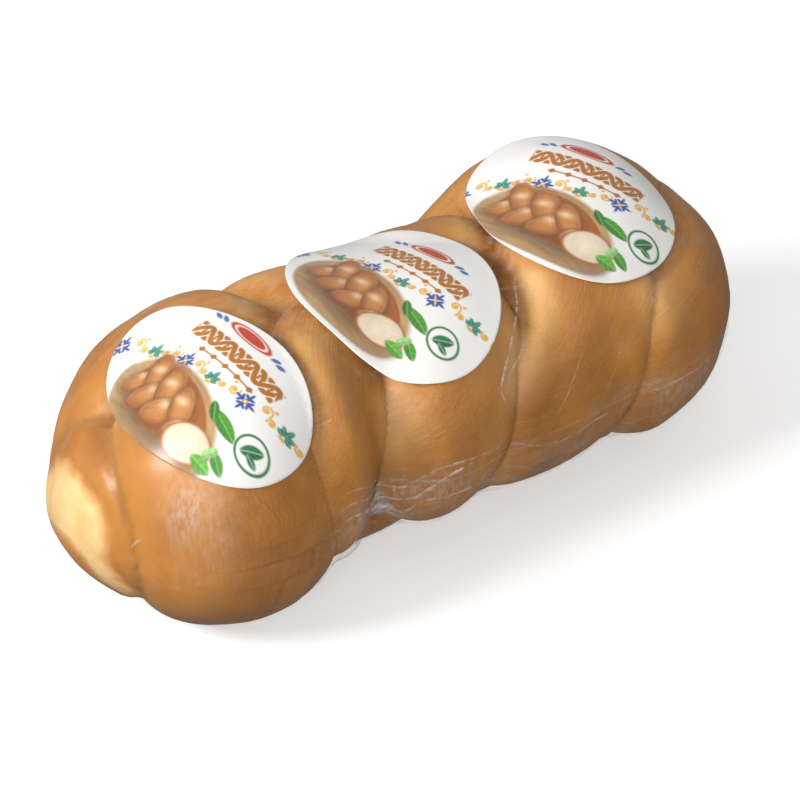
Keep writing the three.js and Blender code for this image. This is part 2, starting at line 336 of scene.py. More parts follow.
# ------------------------------------------------------------ near end: cream patch, fold and pit
def poly_sdf(Y, Z, poly):
    """Signed distance to a polygon in the YZ plane, negative inside."""
    p = np.column_stack([Y, Z])
    poly = np.asarray(poly, float)
    d = np.full(len(p), 1e9)
    inside = np.zeros(len(p), bool)
    for a, b in zip(poly, np.roll(poly, -1, 0)):
        ab = b - a
        t = np.clip(((p - a) @ ab) / (ab @ ab), 0, 1)
        d = np.minimum(d, np.linalg.norm(p - (a + t[:, None] * ab), axis=1))
        hit = (a[1] > p[:, 1]) != (b[1] > p[:, 1])
        with np.errstate(divide="ignore", invalid="ignore"):
            xc = a[0] + (p[:, 1] - a[1]) * ab[0] / (ab[1] if ab[1] else 1e-9)
        inside ^= hit & (p[:, 0] < xc)
    return np.where(inside, -d, d)


CREAM = [(33, 52), (24, 61), (11.6, 67.5), (3.3, 69), (-6, 66), (-14, 63.5), (-19.5, 57), (-21, 48), (-21.5, 36), (-25, 26), (-20, 18),
         (-10, 29), (-6, 37), (-1, 41.5), (9, 40.5), (22, 41), (32, 45)]
FOLD = [(-141.5, 7, 70.5), (-140.5, 12, 71.5), (-137, 13, 75), (-133.5, 10.2, 78), (-130.1, 6.5, 81.5), (-128.3, 2.5, 86)]
FOLD_IN = [(-136, 5, 78), (-138.5, 0.5, 78.3), (-140.5, -5, 75.5)]
PIT = [(-140.8, -10.5, 74.5), (-139.6, -13.0, 74.8)]
warp = 2.2 * noise(P0, 11, 21) + 1.0 * noise(P0, 4.5, 22)
cream_d = poly_sdf(P0[:, 1], P0[:, 2], CREAM) + warp
front = sstep(-0.25, -0.55, DIR[:, 0]) * END
cream = (1 - sstep(-3.2, 2.6, cream_d)) * front
fold_d = along_path(P0, FOLD, 0)
foldin_d = along_path(P0, FOLD_IN, 0)
pit_d = np.minimum(np.linalg.norm(P0 - np.array(PIT[0]), axis=1), np.linalg.norm(P0 - np.array(PIT[1]), axis=1) * 1.25)
dent = 1.5 * np.exp(-(fold_d / 1.5) ** 2) + 0.9 * np.exp(-(foldin_d / 4.5) ** 2) + 2.2 * np.exp(-(pit_d / 2.1) ** 2)
dent -= 0.7 * np.exp(-((fold_d - 3.2) / 1.8) ** 2) * END
# painted shade: darker in the fold, the tucked-in fold and the pit of the near end
fold_painted_shade = np.clip(0.75 * np.exp(-(foldin_d / 5.5) ** 2) + 0.6 * np.exp(-(fold_d / 1.3) ** 2) + 0.9 * np.exp(-(pit_d / 2.4) ** 2), 0, 1)
cream_lip = 0.45 * np.exp(-(cream_d / 2.5) ** 2) * front
fill = np.clip(0.75 * shoulder * (DEPTH - 1.0), 0, 7.0)
cheese_r = to_floor(base_r + fill + (lump - dent - cream_lip) * (1 - 0.8 * sstep(0.7, 0.95, -DIR[:, 2])), DIR, 0.7)
P_CH = ANC + DIR * cheese_r[:, None]
cheese.data.vertices.foreach_set("co", ((P_CH + SHIFT) * MM).astype(np.float32).ravel())
cheese.data.update()
put(cheese, "cream", cream)
put(cheese, "fold", fold_painted_shade)
# low: 1 at the floor fading to 0 at 44 mm up; the skin uses it for painted shade towards the bottom
put(cheese, "low", 1 - sstep(4, 44, P_CH[:, 2]))
put(cheese, "shade", sstep(0.35, 0.95, hollow_w / 6.0 + 0.35 * (1 - sstep(10, 50, P_CH[:, 2]))) * side_face)
tone = 0.5 + 0.32 * fbm(P0, 46, 31, 3) + 0.10 * noise(P0 * np.array([1, 1, 0.4]), 12, 33)
put(cheese, "tone", tone)
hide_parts("braid_cheese")
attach(cheese, "root")


# name, centre x and y, outward normal, turn of the oval's long axis, its half axes, turn of the print
LABELS = [("label_near", (-104.4, -21.2), (-0.20, -0.16, 0.97), -3, (45.8, 34.8), 0),
          ("label_middle", (-5.4, -10.9), (0, -0.13, 0.99), -16, (49.4, 40.8), 5),
          ("label_far", (87.4, -7.6), (0, -0.10, 0.99), -2, (45.7, 38.7), 25)]

# how the cut outline eases in and out round the oval: cosine and sine parts of its first harmonics
EASE = {"label_near": [(-0.0034, -0.028), (0.0237, 0.0087), (-0.0322, -0.0021)], "label_middle": [(0, 0), (0, 0), (0, 0)], "label_far": [(-0.0006, -0.023), (0.0167, 0.0095), (-0.0445, -0.004)]}


def label_axes(nn, turn):
    n = np.array(nn, float)
    n /= np.linalg.norm(n)
    g = math.radians(turn)
    e1 = np.array([math.sin(g), -math.cos(g), 0.0])
    e1 -= n * (e1 @ n)
    e1 /= np.linalg.norm(e1)
    return n, e1, np.cross(n, e1)


def under_labels(P):
    """1 beneath a label and just around it, 0 elsewhere."""
    out = np.zeros(len(P))
    for _, (cx, cy), nn, turn, (la, lb), _t in LABELS:
        n, e1, e2 = label_axes(nn, turn)
        w = P - np.array([cx, cy, 108.0])
        k = np.hypot((w @ e1) / la, (w @ e2) / lb)
        out = np.maximum(out, (1 - sstep(1.0, 1.28, k)) * (w @ n > -40))
    return out


# ============================================================ the film
def film_most(P, D):
    """How far the film may sink into a crease, in mm."""
    most = 12.0 - 7.4 * under_labels(P)
    web = sstep(-86, -76, P[:, 0]) * (1 - sstep(-30, -18, P[:, 0])) * (P[:, 1] < 0) * sstep(22, 32, P[:, 2]) * (1 - sstep(54, 63, P[:, 2]))
    most = most * (1 - 0.85 * web)
    far_low = sstep(20, 60, P[:, 0]) * sstep(16, 26, P[:, 2]) * (1 - sstep(46, 56, P[:, 2]))
    return most * (1 - 0.25 * far_low), web


def film_reach(A, D, end, env=None, depth=None):
    if env is None:
        env, depth, _ = field(A, D, end)
    P = A + D * (env - depth)[:, None]
    most, web = film_most(P, D)
    sag = np.where(depth > 0, most * (1 - np.exp(-np.maximum(depth, 0) / most)), depth)
    return env - sag + 0.40, web


def on_film(P, lift=0.0):
    """Drops points onto the film and lifts them off it by so many mm."""
    A, D, end = rays_to(P)
    r, _ = film_reach(A, D, end)
    return A + D * (to_floor(r, D, 0.0) + lift)[:, None]


film_r, web = film_reach(ANC, DIR, END, ENV, DEPTH)
P_F = ANC + DIR * film_r[:, None]
ridge = 1 - np.abs(fbm(P_F * np.array([0.45, 1.0, 1.0]), 9, 51, 3)) * 2.2
ridge = np.clip(ridge, 0, 1) ** 3
ridge2 = np.clip(1 - np.abs(fbm(P_F * np.array([1.0, 0.8, 0.45]), 7, 61, 2)) * 2.4, 0, 1) ** 3
near_seam = np.exp(-((P_F[:, 2] - SEAM_Z) / 9.0) ** 2)
low_zone = sstep(48, 20, P_F[:, 2]) * (1 - sstep(0.9, 0.99, -DIR[:, 2]))
ends = sstep(0.35, 0.8, np.abs(DIR[:, 0]))
creasy = (1 - 0.6 * (P_F[:, 1] < 10) * sstep(-74, -88, P_F[:, 0])) * np.clip(0.18 + 0.5 * near_seam + 0.55 * low_zone + 0.35 * ends * (DIR[:, 0] > 0) + 0.35 * sstep(3, 8, DEPTH), 0, 1)
pucker = np.exp(-((P_F[:, 2] - SEAM_Z) / 5.0) ** 2) * noise(P_F * np.array([1.0, 1.0, 0.12]), 2.6, 71)
wr = creasy * (0.30 * ridge + 0.22 * ridge2) + 0.16 * pucker
wr = wr * (1 - 0.9 * sstep(0.86, 0.97, -DIR[:, 2]))
wr = wr * (1 - 0.85 * under_labels(P_F))
wr = wr * (1 - 0.92 * (P_F[:, 1] < 10) * sstep(-74, -88, P_F[:, 0]))
P_F = ANC + DIR * to_floor(film_r + wr, DIR, 0.0)[:, None]
film = make_mesh("film_wrap", P_F, QUADS.tolist() + CAP)
put(film, "creasy", creasy)
put(film, "ridge", np.clip(ridge + 0.7 * ridge2, 0, 1) * creasy)
put(film, "web", web * sstep(1.0, 4.0, DEPTH))
put(film, "crease", sstep(3.0, 9.0, DEPTH))
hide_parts("film_upper_web", "film_lower_web")
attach(film, "root")


def resample(path, step):
    path = np.asarray(path, float)
    # smooth curve through the points
    q = np.vstack([2 * path[0] - path[1], path, 2 * path[-1] - path[-2]])
    out = []
    for i in range(1, len(q) - 2):
        n = max(2, int(np.linalg.norm(q[i + 1] - q[i]) / step))
        t = np.linspace(0, 1, n, endpoint=False)[:, None]
        p0, p1, p2, p3 = q[i - 1], q[i], q[i + 1], q[i + 2]
        out.append(0.5 * (2 * p1 + (p2 - p0) * t + (2 * p0 - 5 * p1 + 4 * p2 - p3) * t * t + (3 * p1 - p0 - 3 * p2 + p3) * t ** 3))
    out.append(path[-1:])
    return np.vstack(out)


class Strips:
    """Narrow welted ridges lying on the film, gathered into one mesh."""

    def __init__(self):
        self.v, self.f, self.k = [], [], []
        self.n = 0

    def add(self, path, width, height, closed=False, taper=True, lift=0.12, strength=1.0, seed=0, step=0.7):
        c = resample(path, step)
        if closed:
            c = c[:-1]
        m = len(c)
        c = on_film(c, 0.0)
        # smooth the track a little, then drop it again
        for _ in range(2):
            c[1:-1] = 0.25 * c[:-2] + 0.5 * c[1:-1] + 0.25 * c[2:]
        t = np.roll(c, -1, 0) - np.roll(c, 1, 0) if closed else np.gradient(c, axis=0)
        t /= np.linalg.norm(t, axis=1)[:, None] + 1e-9
        _, D, _ = rays_to(c)
        b = np.cross(t, D)
        b /= np.linalg.norm(b, axis=1)[:, None] + 1e-9
        s = np.linspace(0, 1, m)
        tp = np.ones(m) if closed or not taper else np.clip(np.minimum(s, 1 - s) / 0.16, 0, 1) ** 0.6
        tp = tp * (1 + 0.28 * noise(c, 6, 90 + seed))
        wob = 0.35 * noise(c, 9, 120 + seed)
        prof = [(-1.0, 0.0), (-0.45, 0.62), (0.0, 1.0), (0.45, 0.62), (1.0, 0.0)]
        rows = []
        for x, h in prof:
            q = c + b * ((x * width / 2 * tp)[:, None] + wob[:, None])
            q = on_film(q, 0.0)
            A, D2, _ = rays_to(q)
            rows.append(q + D2 * (lift + h * height * tp)[:, None])
        V = np.stack(rows, 1).reshape(-1, 3)
        np_ = len(prof)
        for i in range(m if closed else m - 1):
            j = (i + 1) % m
            for e in range(np_ - 1):
                a, d = i * np_ + e, j * np_ + e
                self.f.append((self.n + a, self.n + a + 1, self.n + d + 1, self.n + d))
        self.v.append(V)
        self.k.append(np.repeat(strength * tp, np_))
        self.n += len(V)

    def build(self, name, place=None):
        V = np.vstack(self.v)
        k = np.concatenate(self.k)
        ob = make_mesh(name, V, self.f)
        put(ob, "strength", k * (place(V) if place else 1))
        return ob


# the weld that joins the two webs, all the way round
loop = []
for a in np.linspace(0, 2 * math.pi, 97)[:-1]:
    x, y = 150 * math.copysign(abs(math.cos(a)) ** 0.8, math.cos(a)), -66 * math.copysign(abs(math.sin(a)) ** 0.45, math.sin(a))
    loop.append((x, y, SEAM_Z))
loop = on_film(np.array(loop))
loop[:, 2] = SEAM_Z + 1.6 * noise(loop, 45, 77) + 0.5 * noise(loop, 12, 78)
loop = np.vstack([loop, loop[:1]])
weld = Strips()
weld.add(loop, 1.5, 0.42, closed=True, seed=1)


def weld_place(V):
    """The weld shows where the film stands off the braid, and hardly where it clings."""
    x, front = V[:, 0], (V[:, 1] < 0) * 1.0
    f = np.interp(x, [-150, -95, -82, -72, -40, -8, 4, 20, 60, 75, 100, 130, 150], [0.0, 0.0, 0.12, 0.8, 0.7, 0.55, 0.4, 0.30, 0.30, 0.12, 0.30, 0.30, 0.25])
    b = 0.35 + 0.2 * noise(V, 30, 95)
    return front * f * (0.8 + 0.4 * noise(V, 14, 96)) + (1 - front) * b


weld_ob = weld.build("film_weld_bead", weld_place)
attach(weld_ob, "root")

FOLDS = [
    ([(43.6, -27.2, 100.8), (34.3, -40.0, 95.4), (25.6, -47.7, 90.1), (9.4, -60.9, 78.0), (9.9, -64.1, 67.9)], 1.5, 0.50, 1.00),
    ([(50.0, -43.3, 95.1), (40.2, -46.7, 89.1), (26.0, -52.9, 82.0), (10.3, -61.4, 76.8)], 1.2, 0.40, 0.85),
    ([(44.9, -43.4, 93.3), (30.7, -51.4, 83.5), (12.0, -61.2, 77.0)], 0.8, 0.25, 0.50),
    ([(52.2, -58.8, 76.8), (43.4, -61.8, 64.6), (34.0, -62.0, 51.8)], 0.8, 0.25, 0.35),
    ([(72.3, -59.1, 75.1), (66.7, -61.8, 64.0), (58.5, -63.5, 53.3)], 0.7, 0.20, 0.30),
    ([(78.8, -62.3, 53.0), (71.5, -61.3, 42.4), (70.7, -58.5, 32.7)], 1.0, 0.30, 0.40),
    ([(9.3, -65.0, 49.6), (34.9, -61.3, 40.2), (56.9, -63.0, 42.9), (71.7, -61.2, 41.2)], 1.0, 0.30, 0.60),
    ([(79.7, -61.6, 44.7), (94.7, -66.1, 46.3), (111.6, -63.7, 47.0)], 1.0, 0.30, 0.60),
    ([(76.4, -55.0, 26.5), (88.6, -60.5, 26.4), (107.1, -58.7, 26.6)], 0.9, 0.25, 0.40),
    ([(-76.5, -65.6, 48.6), (-63.5, -65.6, 50.4), (-36.9, -49.1, 37.7), (-20.7, -65.4, 49.9), (0.2, -64.8, 51.5), (6.6, -65.2, 51.1)], 1.4, 0.45, 1.00),
    ([(-78.8, -65.9, 55.0), (-65.1, -65.9, 56.8), (-38.4, -49.4, 44.8), (-31.1, -58.8, 48.7), (-20.8, -65.5, 54.4), (6.6, -65.2, 51.1)], 1.2, 0.40, 0.90),
    ([(-77.5, -65.8, 60.6), (-65.0, -65.7, 62.1), (-39.3, -49.2, 48.0)], 1.0, 0.30, 0.70),
    ([(-33.7, -47.8, 27.6), (-27.9, -60.4, 37.5), (-10.9, -64.6, 39.0), (5.0, -61.9, 35.6)], 1.0, 0.30, 0.80),
    ([(6.9, -61.5, 34.5), (17.7, -63.5, 33.4), (45.0, -52.2, 18.9)], 0.8, 0.25, 0.50),
    ([(-39.5, -49.5, 50.2), (-38.0, -50.1, 45.2), (-36.6, -49.6, 37.8)], 1.0, 0.30, 0.80),
    ([(-148.5, -30.6, 52.3), (-147.6, -32.7, 55.2), (-146.5, -36.4, 58.6)], 1.2, 0.35, 0.90),
    ([(-77.9, -54.5, 90.2), (-73.3, -54.7, 90.2), (-68.6, -54.8, 90.6)], 0.8, 0.20, 0.40),
    # the side that faces away
    ([(-100, 62, 70), (-88, 66, 58), (-80, 66, 49)], 1.0, 0.3, 0.6),
    ([(-44, 60, 84), (-42, 64, 70), (-46, 64, 56), (-52, 62, 46)], 1.1, 0.35, 0.8),
    ([(6, 58, 82), (4, 62, 70), (8, 62, 58)], 0.9, 0.3, 0.6),
    ([(46, 62, 84), (42, 65, 70), (46, 66, 57), (54, 66, 50)], 1.2, 0.4, 0.9),
    ([(70, 70, 70), (82, 71, 60), (96, 70, 55)], 0.8, 0.25, 0.5),
    ([(146, 20, 74), (150, 8, 66), (152, -6, 62)], 0.9, 0.3, 0.6),
    ([(140, -36, 64), (146, -26, 56), (150, -14, 50)], 1.0, 0.3, 0.7),
]
folds = Strips()
for n, (path, wd, ht, st) in enumerate(FOLDS):
    folds.add(path, wd, ht, strength=st, seed=n * 3)
folds_ob = folds.build("film_fold_lines")
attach(folds_ob, "root")


# ============================================================ printed labels
def lin(r, g, b):
    c = np.array([r, g, b], float) / 255
    return np.where(c <= 0.04045, c / 12.92, ((c + 0.055) / 1.055) ** 2.4)


def soft(d, w=0.22):
    return np.clip(0.5 - d / (2 * w), 0, 1)


class Art:
    def __init__(self, u, v):
        self.u, self.v = u, v
        self.c = np.tile(lin(243, 241, 237), (len(u), 1))

    def over(self, m, colour):
        m = np.clip(m, 0, 1)[:, None]
        self.c = self.c * (1 - m) + np.asarray(colour) * m

    def local(self, cx, cy, deg):
        g = math.radians(deg)
        x, y = self.u - cx, self.v - cy
        return x * math.cos(g) + y * math.sin(g), -x * math.sin(g) + y * math.cos(g)

    def ell(self, cx, cy, a, b, deg=0):
        x, y = self.local(cx, cy, deg)
        k = np.sqrt((x / a) ** 2 + (y / b) ** 2)
        return (k - 1) * min(a, b), x, y, k

    def leaf(self, cx, cy, a, b, deg, base, vein):
        x, y = self.local(cx, cy, deg)
        half = b * np.clip(1 - (x / a) ** 2, 0, 1) ** 0.75
        d = np.abs(y) - half
        m = soft(d) * (np.abs(x) < a)
        shade = (0.82 + 0.28 * (y > 0) + 0.12 * np.sin(x * 2.6 - np.abs(y) * 2.2))[:, None]
        self.over(m, np.asarray(base) * shade)
        self.over(m * soft(np.abs(y) - 0.12, 0.12) * 0.7, vein)

    def petals(self, cx, cy, r, colour, n=4, deg=45, core=None):
        for k in range(n):
            g = math.radians(deg + 360 * k / n)
            d, _, _, _ = self.ell(cx + math.cos(g) * r * 0.62, cy + math.sin(g) * r * 0.62, r * 0.52, r * 0.27, math.degrees(g))
            self.over(soft(d, 0.16), colour)
        if core is not None:
            self.over(soft(np.hypot(self.u - cx, self.v - cy) - r * 0.18, 0.12), core)

    def curl(self, cx, cy, r, deg, sign, colour):
        """A scroll: one and a half turns tightening inwards, with a dot at its heart."""
        x, y = self.local(cx, cy, deg)
        y = y * sign
        a, rad = np.arctan2(y, x), np.hypot(x, y)
        best = np.full(len(x), 9.0)
        for turn_ in (0, 1):
            th = a + 2 * math.pi * turn_
            ok = (th > -0.6) & (th < 9.2)
            best = np.where(ok, np.minimum(best, np.abs(rad - r * np.exp(-0.17 * (th + 0.6)))), best)
        self.over(soft(best - 0.42, 0.18), colour)
        self.over(soft(rad - 0.16 * r - 0.25, 0.18), colour)


def paint(u, v):
    a = Art(u, v)
    P3 = np.column_stack([u, v, np.zeros_like(u)])
    BLUE, OCHRE, TEAL = lin(36, 76, 156), lin(232, 172, 54), lin(30, 130, 104)
    BROWN, BRICK, GREEN = lin(178, 108, 22), lin(190, 60, 40), lin(24, 116, 62)
    # ornament band across the middle
    bx, by = (-50, -36, -18, 0, 18, 32, 50), (-8.0, -3.0, 0.6, 0.8, 3.0, 8.6, 12.5)
    for i in range(12):
        x = -45.0 + 8.1 * i
        y = float(np.interp(x, bx, by)) + (0.7 if i % 2 else -0.5)
        k = i % 4
        if k == 0:
            for g in (0, 90, 180, 270):
                r = math.radians(g)
                ox, oy = x + 1.5 * math.cos(r), y + 1.5 * math.sin(r)
                for turn_, ln in ((0, 1.7), (58, 1.25), (-58, 1.25)):
                    q = math.radians(g + turn_)
                    a.over(soft(a.ell(ox + math.cos(q) * ln * 1.05, oy + math.sin(q) * ln * 1.05, ln, 0.62, g + turn_)[0], 0.18), BLUE)
                a.over(soft(a.ell(ox - 0.4 * math.cos(r), oy - 0.4 * math.sin(r), 0.75, 0.75)[0], 0.15), BLUE)
            a.over(soft(np.hypot(u - x, v - y) - 1.0, 0.2), OCHRE)
            a.over(soft(np.hypot(u - x, v - y) - 0.4, 0.15), lin(243, 241, 237))
        elif k in (1, 3):
            sg = 1 if k == 1 else -1
            a.curl(x - 1.6 * sg, y + 0.4, 2.7, 12, sg, OCHRE)
            a.curl(x + 3.0 * sg, y - 1.4, 1.9, 192, -sg, OCHRE)
            a.over(soft(np.hypot(u - x - 0.6 * sg, v - y - 3.3) - 0.7, 0.15), OCHRE)
        else:
            for g, q in ((90, 3.2), (42, 2.6), (138, 2.6), (0, 2.2), (180, 2.2)):
                r = math.radians(g)
                a.leaf(x + math.cos(r) * q * 0.85, y - 1.2 + math.sin(r) * q * 0.85, q * 0.78, 1.0, g, TEAL, lin(160, 214, 190))
            a.over(soft(a.ell(x, y - 2.6, 1.5, 0.7)[0], 0.15), OCHRE)
    # serving board
    d, x, y, k = a.ell(-2.0, -20.5, 33.0, 18.5, -13)
    grain = 0.5 + 0.5 * noise(np.column_stack([x * 0.10, y * 1.1, 0 * x]), 1.0, 301)
    wood = lin(196, 156, 108) * (1 - 0.26 * grain[:, None]) * (1 - 0.12 * noise(P3, 9, 303)[:, None])
    a.over(soft(d + 0.4, 0.9), wood)
    a.over(soft(np.abs(d + 0.7) - 0.35, 0.4) * 0.6 * (y < 4), lin(120, 86, 54))
    # shadow of the loaf on the board
    d, _, _, _ = a.ell(-0.5, -23.5, 26.0, 11.5, -15)
    a.over(soft(d, 3.6) * 0.72, lin(92, 62, 38))
    # the little plait: lobes laid from the back end to the cut end
    tilt_ = -15
    d, x, y, k = a.ell(-1.0, -17.4, 25.0, 11.8, tilt_)
    a.over(soft(d, 0.35), lin(160, 92, 40) * (1 - 0.35 * sstep(-2, -11, y)[:, None]))
    for i in range(7):
        t = i / 6
        q = 1 if i % 2 else -1
        w_ = math.sqrt(max(0.12, 1 - ((t - 0.42) / 0.72) ** 2))
        cx, cy = -20.5 + 33.0 * t - 0.8 * q, -12.2 - 9.0 * t + 3.5 * q * w_
        la, lb = 11.6 * w_ + 0.8, 6.3 * w_
        d, x, y, k = a.ell(cx, cy, la, lb, tilt_ - 40 * q)
        lit = np.clip(1 - k ** 2, 0, 1)
        hx, hy = (u - cx + 2.0), (v - cy - 2.4)
        gl = np.exp(-(hx ** 2 / 9.0 + hy ** 2 / 3.0))
        streak_ = 0.5 + 0.5 * noise(np.column_stack([x * 0.35, y * 1.6, 0 * x + i]), 1.2, 311 + i)
        lit = lit ** 0.8 * (0.62 + 0.38 * sstep(-5.0, 4.0, y))
        col = lin(128, 66, 26) * (1 - lit[:, None]) + lin(220, 148, 78) * lit[:, None]
        col = col * (1 - 0.22 * streak_[:, None])
        col = col * (1 - 0.65 * gl[:, None]) + lin(250, 218, 176) * (0.65 * gl[:, None])
        a.over(soft(d, 0.35), col)
        a.over(soft(np.abs(d + 0.5) - 0.10, 0.45) * 0.35 * sstep(-3, 3, y), lin(240, 200, 146))
        a.over(soft(np.abs(d - 0.75) - 0.25, 0.5) * 0.45 * soft(-d, 0.3), lin(104, 56, 24))
    # cut face
    d, x, y, k = a.ell(18.4, -24.4, 9.4, 6.6, 18)
    a.over(soft(d - 0.8, 0.35), lin(168, 98, 44))
    a.over(soft(d, 0.4), lin(240, 222, 192) * (1 - 0.20 * np.clip(k, 0, 1)[:, None]) * (1 - 0.05 * noise(P3, 1.6, 305)[:, None]))
    a.over(soft(np.abs(a.ell(18.2, -24.2, 5.6, 3.8, 18)[0]) - 0.12, 0.35) * 0.25, lin(214, 188, 150))
    # basil
    LG, VE = lin(70, 146, 46), lin(188, 220, 140)
    a.leaf(23.0, -9.6, 7.6, 2.9, -12, LG, VE)
    a.leaf(16.4, -8.6, 4.6, 2.0, -44, lin(54, 122, 40), VE)
    a.leaf(27.6, -25.6, 4.6, 2.6, 6, lin(92, 166, 58), VE)
    a.leaf(31.4, -20.6, 4.2, 2.3, -24, LG, VE)
    a.leaf(27.4, -20.2, 3.4, 1.8, 66, lin(150, 200, 130), VE)
    # plaited ornament where a title would be
    x, y = a.local(0.0, 15.2, -1)
    inb = soft(np.abs(x) - 24.5, 0.3)
    for ph in (0, 2 * math.pi / 3, 4 * math.pi / 3):
        c = 2.9 * np.sin(x * 0.47 + ph)
        sl = 1 / np.sqrt(1 + (2.9 * 0.47 * np.cos(x * 0.47 + ph)) ** 2)
        dd = np.abs(y - c) * sl - 1.15
        a.over(soft(dd - 0.42, 0.14) * inb * (np.cos(2 * (x * 0.47 + ph)) > -0.15), lin(243, 241, 237))
        a.over(soft(dd, 0.16) * inb, BROWN)
    # small rule with lozenges under it
    x, y = a.local(2.0, 8.0, -1)
    a.over(soft(np.maximum(np.abs(y) - 0.38, np.abs(x) - 14.5), 0.14), BROWN)
    for cx in (-14.5, -7.2, 0.0, 7.2, 14.5):
        a.over(soft(np.abs(x - cx) * 0.75 + np.abs(y) - 1.5, 0.14), BROWN)
    # a plain oval spot with small leaves either side at the top
    d, x, y, k = a.ell(-5.0, 26.0, 12.0, 3.3, -1)
    a.over(soft(d, 0.18), BRICK)
    a.over(soft(np.abs(d + 0.85) - 0.20, 0.12), lin(243, 232, 214))
    for q in (-1, 1):
        for j in range(2):
            a.leaf(-5.0 + q * (15.0 + 3.4 * j), 25.8 - 0.7 * j, 2.3, 0.95, q * (28 - 14 * j), BLUE, lin(170, 190, 225))
    # ring with a leaf, lower right
    rr = np.hypot(u - 35.8, v + 7.4)
    a.over(soft(rr - 6.9, 0.2), lin(243, 241, 237))
    a.over(soft(np.abs(rr - 6.2) - 0.48, 0.14), GREEN)
    a.leaf(35.4, -7.0, 4.5, 2.3, 52, GREEN, lin(236, 244, 236))
    a.leaf(37.6, -9.4, 2.6, 1.3, -8, GREEN, lin(236, 244, 236))
    return a.c


def film_along(Q, n):
    """Distance along n from each point of a flat sheet down to the film."""
    t = np.zeros(len(Q))
    for _ in range(8):
        P = Q + t[:, None] * n
        A, D, end = rays_to(P)
        rs, _ = film_reach(A, D, end)
        t += np.clip((rs - ((P - A) * D).sum(1)) / np.maximum(D @ n, 0.35), -12, 12)
    return t


def cubic_up(a, k, axis):
    a = np.moveaxis(a, axis, 0)
    n = a.shape[0]
    p = np.concatenate([2 * a[:1] - a[1:2], a, 2 * a[-1:] - a[-2:-1]], 0)
    t = (np.arange((n - 1) * k + 1) / k)
    i = np.minimum(t.astype(int), n - 2)
    f = (t - i).reshape((-1,) + (1,) * (a.ndim - 1))
    p0, p1, p2, p3 = p[i], p[i + 1], p[i + 2], p[i + 3]
    r = 0.5 * (2 * p1 + (p2 - p0) * f + (2 * p0 - 5 * p1 + 4 * p2 - p3) * f * f + (3 * p1 - p0 - 3 * p2 + p3) * f ** 3)
    return np.moveaxis(r, 0, axis)


